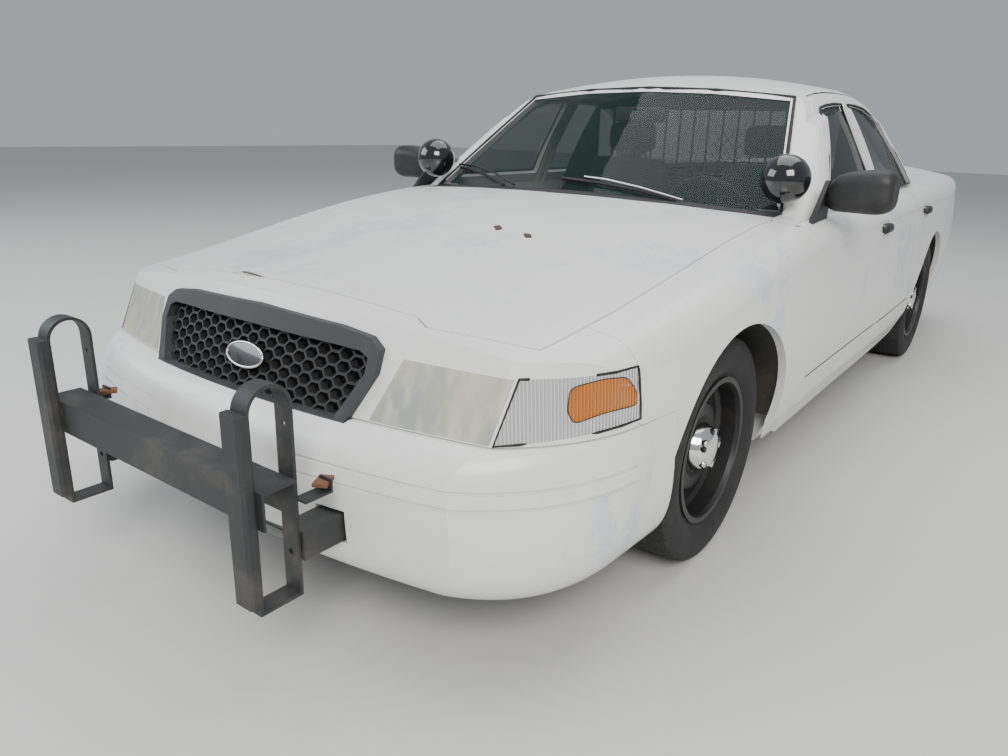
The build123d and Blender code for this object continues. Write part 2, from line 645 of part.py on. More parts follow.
# Chassis rails: outline from the side as station and z, and in plan as x and station.
RAIL_SIDE = [
    (-940, 390), (350, 390), (540, FLOOR_Z), (2350, FLOOR_Z), (2590, PAN_Z), (2652, PAN_Z), (2720, BOOT_Z),
    (4140, BOOT_Z), (4140, 430), (2760, 430), (2640, 320), (2400, 140), (520, 140), (320, 305), (-940, 305),
]
RAIL_PLAN = [
    (470, -940), (470, 420), (700, 670), (700, 2300), (560, 2560), (560, 4140),
    (480, 4140), (480, 2540), (620, 2270), (620, 690), (400, 460), (400, -940),
]
# columns: half width, station from, to, z from, to
CROSS = [
    (405, -900, -840, 315, 380),
    (405, -60, 60, 250, 305),
    (625, 1160, 1240, 190, 230),
    (615, 2280, 2330, 190, 230),
    (485, 2662, 2702, 432, 490),
    (485, 3560, 3620, 432, 490),
    (485, 4080, 4140, 432, 490),
]
rail = side_prism(RAIL_SIDE, 300, 800) & plan_prism(RAIL_PLAN, 100, 600)
for half_w, s0, s1, z0, z1 in CROSS:
    rail = rail + block(0, half_w, s0, s1, z0, z1)
frame = rail + block(400, 430, -70, 70, 240, 400)
keep("frame", both(frame))

# floor, tunnel, rear seat pan, boot floor and wheel tubs
TUNNEL_X = 150.0
TUNNEL_Z = PAN_Z + PAN_T
TUNNEL_T = 12.0
WALL_S = (545.0, 560.0)
KICK_S = (2330.0, 2342.0)
BULK_S = (THICK_END, THICK_END + 12.0)
BULK_TOP = 980.0
TUB_X = 575.0
TUB_T = 12.0
TUB_Z = 396.0           # clears the axle tube
SILL_CLEAR = 10.0       # fixed cabin pieces' clearance from the doors
inner_lower = lower_body(DOOR_T, SKIN, 0)
tub_outer = tube_x(TUB_X, SIDE_X1, WHEELBASE, HUB_Z, ARCH_R + TUB_T + 2)
tub_hole = tube_x(TUB_X + TUB_T, SIDE_X1, WHEELBASE, HUB_Z, ARCH_R + 2)
tunnel_hole = block(-1, TUNNEL_X - TUNNEL_T, WALL_S[0] - GAP, KICK_S[1] + GAP, -FAR, TUNNEL_Z - TUNNEL_T)
front_floor = block(0, SIDE_X1, WALL_S[1], KICK_S[1], FLOOR_Z, FLOOR_Z + FLOOR_T)
kick = block(0, SIDE_X1, *KICK_S, FLOOR_Z, PAN_Z + PAN_T)
pan = block(0, SIDE_X1, KICK_S[1], BULK_S[1], PAN_Z, PAN_Z + PAN_T)
bulk = block(0, SIDE_X1, *BULK_S, PAN_Z, BULK_TOP)
tunnel = block(0, TUNNEL_X, WALL_S[1], KICK_S[1], FLOOR_Z, TUNNEL_Z)
clear_lower = lower_body(DOOR_T + SILL_CLEAR, SKIN, 0)
cabin_floor = (front_floor & inner_lower) + ((kick + pan + tunnel) & clear_lower)
cabin_floor = cabin_floor.cut(tunnel_hole)
boot_floor = block(0, SIDE_X1, BULK_S[0], FAR, BOOT_Z, BOOT_Z + PAN_T)
tub = (tub_outer - tub_hole) & block(0, SIDE_X1, 0, FAR, TUB_Z, FAR)
floor_front = ((cabin_floor - tub_outer) + (tub & block(0, SIDE_X1, 0, BULK_S[0], 0, 1200))) & inner_lower
tub_rear = tub & block(0, SIDE_X1, BULK_S[0], FAR, 0, 1200)
floor_rear = ((boot_floor + bulk - tub_outer) + tub_rear) & inner_skin
keep("floor_pan", both(large(floor_front + floor_rear.cut(rear_cover))))

# firewall and cowl
WALL_TOP = 915.0
COWL_PLAN = [(0, 400), (COWL_X, 560), (COWL_X, COWL_S), (0, COWL_S)]
COWL_WALL_X = 640.0
wall = (inner_lower & block(0, 1000, *WALL_S, FLOOR_Z, WALL_TOP)) - tunnel_hole
cowl = carved(lower_skin & plan_prism(COWL_PLAN, 800, 1200), hood_gap, green_outer)
cowl_wall = lower_body(DOOR_T, SKIN - GAP, 0) & block(0, COWL_WALL_X, *WALL_S, WALL_TOP - GAP, 1000)
keep("firewall", both(large(wall + large(cowl) + carved(cowl_wall, hood_gap, green_outer))))

# engine, radiator with its support, bump stops, and front wheel houses
ENGINE = (-260, 260, -420, 330, 305, 700)
RADIATOR = (-400, 400, -745, -705, 400, 720)
SUPPORT = (-690, 690, -770, -745, 390, 727)
STOP_X = 300.0
APRON_X = (455.0, 485.0)
LINER_T = 11.0
keep("engine_block", block(*ENGINE))
stop = rod((STOP_X, -757, 700), (STOP_X, -757, 900), 11)
stop = stop & lower_body(HOOD_T + LID_SEAT, HOOD_T + LID_SEAT, 0)
keep("radiator_support", block(*SUPPORT) + block(*RADIATOR) + stop + mirrored(stop))
apron = block(*APRON_X, -700, WALL_S[0], 390, 715)
tower = block(APRON_X[1], 610, -65, 65, 600, 622)
liner = tube_x(APRON_X[1], SIDE_X1, 0, HUB_Z, ARCH_R + 3 + LINER_T)
liner = liner - tube_x(APRON_X[0], SIDE_X1, 0, HUB_Z, ARCH_R + 3)
liner = (liner & block(APRON_X[0], SIDE_X1, -500, 500, HUB_Z + 3, 900)) & inner_skin
keep("wheelhouses", both(apron + tower + liner))

# front suspension and steering knuckles
PIN_R = 12.0
PIN_FIT = 0.05
SPINDLE_R = 32.0
SPINDLE_END = 12.0      # spindle's end inside the wheel's middle plane
HALF_F = TRACK_FRONT / 2
HALF_R = TRACK_REAR / 2
# columns: x from, to, station from, to, z from, to
ARMS = [
    (430, KINGPIN_X + 20, -25, 25, 165, 200),
    (430, 600, -90, 90, 170, 195),
    (430, KINGPIN_X + 20, -22, 22, 480, 505),
    (430, 455, -60, 60, 165, 240),
    (430, 455, -60, 60, 400, 505),
]
suspension = rod((560, 0, 195), (560, 0, 600), 48)
for row in ARMS:
    suspension = suspension + block(*row)
pin_hole = rod((KINGPIN_X, 0, 100), (KINGPIN_X, 0, 600), PIN_R)
keep("front_suspension", both(suspension.cut(pin_hole, apron, frame)))
upright = block(KINGPIN_X - 22, KINGPIN_X + 22, -28, 28, 225, 455)
kingpin = rod((KINGPIN_X, 0, 170), (KINGPIN_X, 0, 500), PIN_R - PIN_FIT)
spindle = tube_x(KINGPIN_X, HALF_F - SPINDLE_END, 0, HUB_Z, SPINDLE_R - PIN_FIT)
steer_arm = block(KINGPIN_X - 20, KINGPIN_X + 10, 0, 150, 255, 275)
knuckle = upright + kingpin + spindle + steer_arm
keep("knuckle_left", knuckle)
keep("knuckle_right", mirrored(knuckle))

# rear axle with its arms, springs, propeller shaft and gearbox
AXLE_R = 42.0
ARM_X = 420.0
SPRING_X = 400.0
diff = Pos(*at(0, WHEELBASE, HUB_Z)) * Sphere(125) & block(0, 200, WHEELBASE - 200, WHEELBASE + 200, 100, 600)
axle_tube = tube_x(0, 720, WHEELBASE, HUB_Z, AXLE_R)
axle_end = tube_x(700, HALF_R - SPINDLE_END, WHEELBASE, HUB_Z, SPINDLE_R - PIN_FIT)
trail_arm = rod((ARM_X, 2334, 208), (ARM_X, WHEELBASE - 30, 325), 19)
coil = rod((SPRING_X, WHEELBASE, HUB_Z + 30), (SPRING_X, WHEELBASE, BOOT_Z), 45)
shaft = rod((0, 1150, 285), (0, WHEELBASE - 90, HUB_Z), 38) & block(0, 100, 1100, WHEELBASE, 100, 500)
gearbox = rod((0, ENGINE[3] - 40, 300), (0, 1150, 285), 95) & block(0, 200, ENGINE[3], 1240, 100, 600)
keep("rear_axle", both(diff + axle_tube + axle_end + trail_arm + coil + shaft + gearbox))

# Exhaust: bends of the pipe's centre line, x station z.
PIPE = [
    (-225, 290, 278), (-300, 520, 160), (-300, 2390, 160), (-300, 2640, 335), (-300, 2790, 445),
    (-300, 3060, 445), (-300, 3380, 335), (-300, 3940, 325), (-370, 4130, 228), (-380, 4262, 228),
]
PIPE_R = 27.0
MUFFLER = (-420, -180, 3470, 3930, 258, 408)
TANK = (-120, 470, 3200, 3540, 310, BOOT_Z)
exhaust = fillet(block(*MUFFLER).edges().filter_by(Axis.Y), 60)
for p, q in zip(PIPE, PIPE[1:]):
    exhaust = exhaust + rod(p, q, PIPE_R) + Pos(*at(*q)) * Sphere(PIPE_R)
keep("exhaust", exhaust + block(-306, -294, 3640, 3660, 400, BOOT_Z))
keep("fuel_tank", fillet(block(*TANK).edges().filter_by(Axis.Y), 25))

# Wheels: profiles in x outward from the wheel's middle plane, and radius.
BEAD_R = RIM_R - 4
FLANGE_R = RIM_R + 6
BEAD_X = 96.0
RIM_DISC = [
    (42, 203), (30, 190), (30, 160), (52, 130), (56, 95), (44, 80), (44, 0), (36, 0), (36, 86),
    (46, 100), (42, 128), (20, 158), (20, 203),
]
RIM_SLOTS = 16
CAP_PROFILE = [(44, 0), (44, 78), (60, 74), (86, 62), (100, 40), (102, 0)]
LUGS = 5


def spin(points):
    face = make_face(Plane.XZ * Polyline(*points, close=True))
    return revolve(face, Axis.X, 360)


def tyre_edges(sign):
    shoulder = (sign * TREAD_HALF, TYRE_R - CROWN)
    edge = (sign * (TREAD_HALF + 6), TYRE_R - CROWN - 6)
    foot = (sign * (BEAD_X - SEAT), BEAD_R + 16)
    return [
        Line(shoulder, edge),
        ThreePointArc(edge, (sign * TYRE_HALF, BELLY_R), foot),
        Line(foot, (foot[0], BEAD_R + SEAT)),
    ]


TREAD_HALF = 100.0
TYRE_HALF = 118.0
CROWN = 5.0
BELLY_R = 283.0
tread = ThreePointArc((-TREAD_HALF, TYRE_R - CROWN), (0, TYRE_R), (TREAD_HALF, TYRE_R - CROWN))
bead = Line((SEAT - BEAD_X, BEAD_R + SEAT), (BEAD_X - SEAT, BEAD_R + SEAT))
tyre = revolve(Plane.XZ * make_face([tread, bead, *tyre_edges(1), *tyre_edges(-1)]), Axis.X, 360)
barrel = spin([
    (-BEAD_X, BEAD_R), (BEAD_X, BEAD_R), (BEAD_X, FLANGE_R), (BEAD_X + 8, FLANGE_R),
    (BEAD_X + 8, BEAD_R - 6), (90, BEAD_R - 10), (-90, BEAD_R - 10), (-BEAD_X - 8, BEAD_R - 6),
    (-BEAD_X - 8, FLANGE_R), (-BEAD_X, FLANGE_R),
])
disc = spin(RIM_DISC)
slot_face = Plane.YZ * (Pos(0, 150) * SlotOverall(34, 15, rotation=90))
slot_tool = extrude(slot_face, amount=80)
disc = disc.cut(*[Rot(i * 360 / RIM_SLOTS, 0, 0) * slot_tool for i in range(RIM_SLOTS)])
hub = spin([(-60, 60), (40, 60), (40, 0), (-60, 0)])
rotor = spin([(-32, 150), (-8, 150), (-8, 50), (-32, 50)])
cap = spin(CAP_PROFILE)
for i in range(LUGS):
    lug = fillet(Cylinder(10, 14).edges().group_by(Axis.Z)[-1], 4)
    cap = cap + Rot(i * 360 / LUGS, 0, 0) * (Pos(92, 0, 54) * (Rot(0, 90, 0) * lug))
bore = Pos(-80, 0, 0) * (Rot(0, 90, 0) * Cylinder(SPINDLE_R, 2 * (80 - SPINDLE_END + 2)))
rim = barrel + disc + hub + rotor + cap - bore
# columns: name, half track, station, side
WHEELS = [
    ("front_left", HALF_F, 0, 1), ("front_right", HALF_F, 0, -1),
    ("rear_left", HALF_R, WHEELBASE, 1), ("rear_right", HALF_R, WHEELBASE, -1),
]
for name, x, s, hand in WHEELS:
    for kind, shape in (("rim_", rim), ("tyre_", tyre)):
        placed = Pos(x, s - S_MID, HUB_Z) * shape
        keep(kind + name, placed if hand > 0 else mirrored(placed))

# Cabin: outlines from the side, station and z.
DRIVER_X = 370.0
DASH = [(560, 640), (560, 905), (760, 923), (850, 955), (930, 915), (905, 640)]
DASH_X = 775.0
COLUMN = ((DRIVER_X, 900, 800), (DRIVER_X, 1085, 880))
WHEEL_AT = (DRIVER_X, 1095, 884)
CUSHION_HALF = 212.0
CUSHION = (1180, 1680, 390, 520)
SEAT_BACK = [(1600, 500), (1690, 470), (1800, 1080), (1720, 1095)]
HEAD_REST = (1735, 1825, 1120, 1270)
PLINTH = (1230, 1600, FLOOR_Z + FLOOR_T, 395)
BENCH_X = 640.0
BENCH = (2130, 2600, PAN_Z + PAN_T, 545)
BENCH_BACK = [(2470, 545), (2636, 545), (2636, 960), (2580, 960)]
dash = side_prism(DASH, 0, DASH_X)
keep("dashboard", both(dash))
column = rod(*COLUMN, 24)
wheel_plane = Plane(origin=at(*WHEEL_AT), x_dir=(1, 0, 0), z_dir=(0, 0.92, 0.39))
ring = wheel_plane * Torus(180, 13)
spoke = wheel_plane * Box(352, 34, 14)
boss = wheel_plane * Cylinder(48, 40)
keep("steering_wheel", column + ring + spoke + boss - dash)


def seat_box(x_mid, half, span, r):
    s0, s1, z0, z1 = span
    return fillet(block(x_mid - half, x_mid + half, s0, s1, z0, z1).edges(), r)


seat = seat_box(DRIVER_X, CUSHION_HALF, CUSHION, 35)
seat = seat + side_prism(SEAT_BACK, DRIVER_X - CUSHION_HALF, DRIVER_X + CUSHION_HALF)
seat = seat + seat_box(DRIVER_X, 130, HEAD_REST, 30)
for x in (DRIVER_X - 64, DRIVER_X + 64):
    seat = seat + rod((x, 1771, 1070), (x, 1771, 1130), 6)
seat = seat + block(DRIVER_X - 180, DRIVER_X + 180, *PLINTH)
keep("front_seats", both(seat))
bench = block(0, BENCH_X, *BENCH) + side_prism(BENCH_BACK, 0, BENCH_X)
keep("rear_bench", both(bench - tub_outer))

# partition behind the front seats: frame, bars and lower sheet
PART_S = (1880.0, 1892.0)
WINDOW_X = 640.0
WINDOW_Z = (900.0, 1335.0)
BAR_STEP = 78.0
BAR_W = 8.0
low_part = clear_lower & block(0, SIDE_X1, *PART_S, FLOOR_Z + FLOOR_T, BELT_Z - 20)
high_part = greenhouse(FRAME_T + SILL_CLEAR) & block(0, SIDE_X1, *PART_S, BELT_Z - 21, 1500)
partition = (low_part + high_part).cut(block(-1, WINDOW_X, PART_S[0] - 9, PART_S[1] + 9, *WINDOW_Z), tunnel)
for i in range(8):
    x = i * BAR_STEP
    bar_x0 = max(0, x - BAR_W / 2)
    partition = partition + block(bar_x0, x + BAR_W / 2, 1882, 1890, WINDOW_Z[0] - 9, WINDOW_Z[1] + 9)
keep("partition", both(partition))

# door handles, mirrors and spotlights
HANDLES = {"front": (930, 990, 1500, 1620, 848, 880), "rear": (925, 988, 2440, 2545, 862, 894)}
SAIL = [(655, 940), (830, 940), (830, 1085), (800, 1085)]
# mirror housing. columns: x, half length, half height, middle z, corner radius
MIRROR = [
    (918, 40, 36, 1036, 26),
    (950, 56, 60, 1046, 36),
    (1040, 66, 72, 1056, 42),
    (1110, 62, 66, 1058, 42),
    (1128, 44, 48, 1058, 32),
]
MIRROR_S = 808.0
SPOT_AT = (795, 695, 1087)
SPOT_R = 84.0
for end, row in HANDLES.items():
    handle = chamfer(block(*row).edges().group_by(Axis.X)[-1], 9)
    keep(end + "_door_left", large(doors[end] + handle))
    keep(end + "_door_right", mirrored(NODES[end + "_door_left"]))
    keep(end + "_glass_left", door_glass[end])
    keep(end + "_glass_right", mirrored(door_glass[end]))
mirror_rings = []
for x, half_s, half_z, z, r in MIRROR:
    where = Plane(origin=at(x, MIRROR_S, z), x_dir=(0, 1, 0), z_dir=(1, 0, 0))
    mirror_rings.append((where * RectangleRounded(2 * half_s, 2 * half_z, r)).face().outer_wire())
housing = Solid.make_loft(mirror_rings, ruled=False)
sail = side_prism(SAIL, 899, 915)
mirror_arm = block(900, 930, 775, 840, 1015, 1055)
mirror_left = (housing + sail + mirror_arm) - doors["front"]
keep("mirror_left", large(mirror_left))
keep("mirror_right", mirrored(NODES["mirror_left"]))
spot = Pos(*at(*SPOT_AT)) * Sphere(SPOT_R)
spot_rod = rod((800, 720, 1075), (815, 940, 1070), 9)
keep("spotlights", both(spot + spot_rod - green_outer))

for name, shape in NODES.items():
    export_step(shape, "parts/" + name + ".step", write_pcurves=False)
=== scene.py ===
"""Police patrol car: materials, fine parts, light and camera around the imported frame."""
import math

import bmesh
import bpy
from mathutils import Matrix, Vector
from mathutils.bvhtree import BVHTree


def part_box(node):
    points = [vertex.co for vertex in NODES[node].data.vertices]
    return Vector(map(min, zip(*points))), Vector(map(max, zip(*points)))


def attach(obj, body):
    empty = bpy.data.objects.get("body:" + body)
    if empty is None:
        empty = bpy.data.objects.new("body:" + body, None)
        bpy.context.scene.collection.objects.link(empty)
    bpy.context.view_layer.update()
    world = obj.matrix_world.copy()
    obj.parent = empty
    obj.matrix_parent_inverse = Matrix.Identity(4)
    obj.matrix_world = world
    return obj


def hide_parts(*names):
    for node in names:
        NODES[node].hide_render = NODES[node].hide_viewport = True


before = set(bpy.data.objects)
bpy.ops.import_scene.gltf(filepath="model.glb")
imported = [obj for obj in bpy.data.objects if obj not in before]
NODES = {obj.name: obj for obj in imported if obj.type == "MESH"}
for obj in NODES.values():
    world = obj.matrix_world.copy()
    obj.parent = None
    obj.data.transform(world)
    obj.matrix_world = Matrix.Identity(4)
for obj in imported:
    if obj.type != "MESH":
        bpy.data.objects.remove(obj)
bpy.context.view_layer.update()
SIDES = ((1, "left"), (-1, "right"))

# The photograph's camera, in the car's own frame, in metres and degrees
PHOTO_W = 1008
PHOTO_H = 756
PHOTO_FOCAL_PX = 775.8
SENSOR_MM = 36.0
front_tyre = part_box("tyre_front_left")
FRONT_AXLE_Y = (front_tyre[0][1] + front_tyre[1][1]) / 2
CAMERA_AT = Vector((1.6564, FRONT_AXLE_Y - 2.0746, 1.2394))
CAMERA_AZIMUTH = math.radians(36.27)
CAMERA_DOWN = math.radians(18.09)
CAMERA_ROLL = math.radians(1.59)
forward = Vector((
    -math.sin(CAMERA_AZIMUTH) * math.cos(CAMERA_DOWN),
    math.cos(CAMERA_AZIMUTH) * math.cos(CAMERA_DOWN),
    -math.sin(CAMERA_DOWN),
))
level = Vector((math.cos(CAMERA_AZIMUTH), math.sin(CAMERA_AZIMUTH), 0))
above = level.cross(forward)
right = math.cos(CAMERA_ROLL) * level + math.sin(CAMERA_ROLL) * above
up = math.cos(CAMERA_ROLL) * above - math.sin(CAMERA_ROLL) * level


# Shader helpers
def material(name):
    mat = bpy.data.materials.new(name)
    mat.use_nodes = True
    shader = mat.node_tree.nodes["Principled BSDF"]
    return mat, mat.node_tree, shader


def plain(name, colour, rough=0.5, metal=0.0, **sockets):
    mat, tree, shader = material(name)
    shader.inputs["Base Color"].default_value = (*colour, 1)
    shader.inputs["Roughness"].default_value = rough
    shader.inputs["Metallic"].default_value = metal
    for key, value in sockets.items():
        shader.inputs[key.replace("_", " ")].default_value = value
    return mat


def noise(tree, scale, detail=6.0, rough=0.6, seed=0.0, stretch=(1, 1, 1)):
    coord = tree.nodes.new("ShaderNodeTexCoord")
    mapping = tree.nodes.new("ShaderNodeMapping")
    mapping.inputs["Location"].default_value = (seed, seed * 0.7, seed * 1.3)
    mapping.inputs["Scale"].default_value = stretch
    tex = tree.nodes.new("ShaderNodeTexNoise")
    tex.inputs["Scale"].default_value = scale
    tex.inputs["Detail"].default_value = detail
    tex.inputs["Roughness"].default_value = rough
    tree.links.new(coord.outputs["Object"], mapping.inputs["Vector"])
    tree.links.new(mapping.outputs["Vector"], tex.inputs["Vector"])
    return tex.outputs["Fac"]


def step(tree, value, low, high):
    ramp = tree.nodes.new("ShaderNodeMapRange")
    ramp.interpolation_type = "SMOOTHSTEP"
    ramp.inputs["From Min"].default_value = low
    ramp.inputs["From Max"].default_value = high
    tree.links.new(value, ramp.inputs["Value"])
    return ramp.outputs["Result"]


def mix(tree, factor, first, second):
    node = tree.nodes.new("ShaderNodeMix")
    node.data_type = "RGBA"
    tree.links.new(factor, node.inputs["Factor"])
    # inputs 6 and 7 and output 2 are the mix node's colours
    for socket, value in ((node.inputs[6], first), (node.inputs[7], second)):
        if isinstance(value, tuple):
            socket.default_value = (*value, 1)
        else:
            tree.links.new(value, socket)
    return node.outputs[2]


def bump(tree, shader, value, strength, distance=0.002):
    node = tree.nodes.new("ShaderNodeBump")
    node.inputs["Strength"].default_value = strength
    node.inputs["Distance"].default_value = distance
    tree.links.new(value, node.inputs["Height"])
    tree.links.new(node.outputs["Normal"], shader.inputs["Normal"])


def calculator(tree):
    # returns a function that adds one Math node and gives its result
    def calc(operation, *values):
        node = tree.nodes.new("ShaderNodeMath")
        node.operation = operation
        for slot, value in zip(node.inputs, values):
            if isinstance(value, float):
                slot.default_value = value
            else:
                tree.links.new(value, slot)
        return node.outputs[0]
    return calc


def split_coordinates(tree, output):
    coord = tree.nodes.new("ShaderNodeTexCoord")
    split = tree.nodes.new("ShaderNodeSeparateXYZ")
    tree.links.new(coord.outputs[output], split.inputs[0])
    return split.outputs


# Materials that need more than a colour
WHITE = (0.78, 0.785, 0.77)
DULL_WHITE = (0.66, 0.69, 0.72)
DIRT = (0.62, 0.60, 0.56)


def worn_paint(name, peel, seed):
    # white coat with ragged dull patches, more of them as peel grows, under a little dirt
    mat, tree, shader = material(name)
    patches = step(tree, noise(tree, 1.7, 5, 0.62, seed), 0.60 - peel, 0.66 - peel)
    ragged = step(tree, noise(tree, 9.0, 8, 0.7, seed + 3), 0.44, 0.52)
    worn = calculator(tree)("MULTIPLY", patches, ragged)
    colour = mix(tree, worn, WHITE, DULL_WHITE)
    grime = step(tree, noise(tree, 5.0, 7, 0.7, seed + 9), 0.60, 0.90)
    colour = mix(tree, grime, colour, DIRT)
    tree.links.new(colour, shader.inputs["Base Color"])
    shader.inputs["Roughness"].default_value = 0.38
    shader.inputs["Coat Weight"].default_value = 0.35
    shader.inputs["Coat Roughness"].default_value = 0.12
    return mat


def wear_mask(tree, scale):
    return step(tree, noise(tree, scale, 6, 0.65, 5), 0.45, 0.75)


def textured(name, colour, worn_colour, grain_scale, rough, strength):
    mat, tree, shader = material(name)
    grain = noise(tree, grain_scale, 4, 0.6)
    blend = mix(tree, wear_mask(tree, 6.0), colour, worn_colour)
    tree.links.new(blend, shader.inputs["Base Color"])
    shader.inputs["Roughness"].default_value = rough
    bump(tree, shader, grain, strength)
    return mat


def glass(name, colour, alpha, rough=0.03):
    mat, tree, shader = material(name)
    shader.inputs["Base Color"].default_value = (*colour, 1)
    shader.inputs["Alpha"].default_value = alpha
    shader.inputs["Roughness"].default_value = rough
    shader.inputs["IOR"].default_value = 1.5
    shader.inputs["Specular IOR Level"].default_value = 0.3
    return mat


def hazed(name):
    # aged lamp plastic: grey and yellow blotches with pale upright streaks
    mat, tree, shader = material(name)
    blotch = step(tree, noise(tree, 5, 3, 0.5, 2.0, (1, 1, 0.6)), 0.35, 0.70)
    streak = step(tree, noise(tree, 12, 2, 0.5, 6.0, (2.5, 2.5, 0.3)), 0.40, 0.85)
    inner = mix(tree, blotch, (0.34, 0.36, 0.34), (0.52, 0.50, 0.37))
    tree.links.new(mix(tree, streak, inner, (0.62, 0.61, 0.50)), shader.inputs["Base Color"])
    shader.inputs["Roughness"].default_value = 0.3
    shader.inputs["Coat Weight"].default_value = 0.8
    shader.inputs["Coat Roughness"].default_value = 0.08
    return mat


FLUTES_PER_METRE = 520.0 / (2 * math.pi)
FLUTE_SHADE = 0.70


def fluted(name, colour, alpha):
    # upright flutes that follow the lamp round the corner of either side, with painted shade on
    # one side of each flute
    mat, tree, shader = material(name)
    axes = split_coordinates(tree, "Object")
    calc = calculator(tree)
    along = calc("ADD", calc("ABSOLUTE", axes["X"]), axes["Y"])
    flutes = calc("SINE", calc("MULTIPLY", along, 2 * math.pi * FLUTES_PER_METRE))
    bump(tree, shader, flutes, 0.9, 0.003)
    # painted shade: where the flute sine is low, the lens colour is darkened by FLUTE_SHADE,
    # giving a lit and a shaded copy of one colour
    light = step(tree, flutes, -0.6, 0.9)
    painted_flute_shade = tuple(c * FLUTE_SHADE for c in colour)
    tree.links.new(mix(tree, light, painted_flute_shade, colour), shader.inputs["Base Color"])
    shader.inputs["Alpha"].default_value = alpha
    shader.inputs["Roughness"].default_value = 0.12
    shader.inputs["Coat Weight"].default_value = 0.6
    return mat


# Tread, in shares of the tyre's own box: half width 0.5 and radius 0.5
TREAD_BLOCKS = 64.0
TREAD_RIB_WAVE = 60.0
TREAD_MIDDLE = 0.27
TREAD_RADIUS = 0.47
SHOULDER_RADIUS = 0.462
TREAD_DEPTH = 0.007


def treaded(name):
    mat, tree, shader = material(name)
    axes = split_coordinates(tree, "Generated")
    calc = calculator(tree)
    x, y, z = (calc("SUBTRACT", axes[k], 0.5) for k in "XYZ")
    angle = calc("ARCTAN2", z, y)
    radius = calc("SQRT", calc("ADD", calc("MULTIPLY", y, y), calc("MULTIPLY", z, z)))
    off_centre = calc("ABSOLUTE", x)
    blocks = calc("SINE", calc("MULTIPLY", angle, TREAD_BLOCKS))
    shoulder = calc("MULTIPLY", calc("GREATER_THAN", radius, SHOULDER_RADIUS),
                    calc("GREATER_THAN", off_centre, TREAD_MIDDLE))
    ribs = calc("SINE", calc("MULTIPLY", x, TREAD_RIB_WAVE))
    middle = calc("MULTIPLY", calc("LESS_THAN", off_centre, TREAD_MIDDLE),
                  calc("GREATER_THAN", radius, TREAD_RADIUS))
    height = calc("ADD", calc("MULTIPLY", step(tree, blocks, -0.5, 0.2), shoulder),
                  calc("MULTIPLY", step(tree, ribs, -0.6, -0.1), middle))
    bump(tree, shader, height, 1.0, TREAD_DEPTH)
    blend = mix(tree, wear_mask(tree, 7.0), (0.017, 0.017, 0.018), (0.04, 0.038, 0.036))
    tree.links.new(blend, shader.inputs["Base Color"])
    shader.inputs["Roughness"].default_value = 0.8
    return mat


PAINT = worn_paint("white_paint", 0.0, 1.0)
HOOD_PAINT = worn_paint("hood_paint", 0.06, 4.0)
TYRE = treaded("tyre_rubber")
# name, colour, worn colour, grain scale, roughness, bump strength
WHEEL = textured("wheel_black", (0.012, 0.012, 0.013), (0.03, 0.028, 0.026), 80, 0.45, 0.1)
BLACK = textured("trim_black", (0.015, 0.015, 0.016), (0.03, 0.03, 0.03), 300, 0.5, 0.15)
CHARCOAL = textured("charcoal", (0.035, 0.036, 0.04), (0.06, 0.06, 0.065), 350, 0.6, 0.35)
PUSH = textured("push_steel", (0.025, 0.026, 0.028), (0.07, 0.066, 0.06), 260, 0.55, 0.35)
UNDER = textured("underseal", (0.02, 0.02, 0.02), (0.05, 0.042, 0.035), 60, 0.8, 0.3)
IRON = textured("iron", (0.09, 0.09, 0.09), (0.16, 0.11, 0.08), 40, 0.7, 0.3)
STEEL = textured("dull_steel", (0.22, 0.21, 0.2), (0.2, 0.12, 0.07), 40, 0.55, 0.2)
DASH = textured("dash", (0.02, 0.035, 0.032), (0.035, 0.05, 0.045), 400, 0.6, 0.3)
CLOTH = textured("seat_cloth", (0.05, 0.055, 0.06), (0.085, 0.09, 0.095), 500, 0.95, 0.5)
RUST = textured("rust", (0.16, 0.07, 0.035), (0.28, 0.13, 0.06), 200, 0.85, 0.5)
BARE = textured("bare_spot", (0.11, 0.075, 0.05), (0.02, 0.018, 0.016), 400, 0.8, 0.3)
# name, colour, alpha, roughness
# painted shade: the window and windscreen glass are dark and half opaque, so they stand in for
# the shade inside the cabin as well as the glass's own tint
WINDOW_TINT_AND_PAINTED_SHADE = glass("window_glass", (0.008, 0.016, 0.015), 0.5, 0.0)
SCREEN_TINT_AND_PAINTED_SHADE = glass("windscreen_glass_and_painted_shade", (0.012, 0.035, 0.03), 0.3, 0.0)
RED = glass("red_lens", (0.35, 0.01, 0.01), 0.9, 0.12)
LENS = hazed("hazed_lens")
CLEAR = fluted("clear_lens", (0.80, 0.81, 0.81), 1.0)
AMBER = fluted("amber_lens", (0.75, 0.24, 0.03), 1.0)
# name, colour, roughness, metal
CHROME = plain("chrome", (0.8, 0.8, 0.78), 0.12, 1.0)
MIRROR = plain("mirror_glass", (0.75, 0.77, 0.78), 0.03, 1.0)
RUBBER = plain("gasket", (0.01, 0.01, 0.01), 0.6)
BLANK = plain("badge_blank", (0.035, 0.037, 0.042), 0.25, 0.0, Coat_Weight=1.0)
GLOSS = plain("gloss_black", (0.006, 0.006, 0.007), 0.12, 0.0, Coat_Weight=1.0)

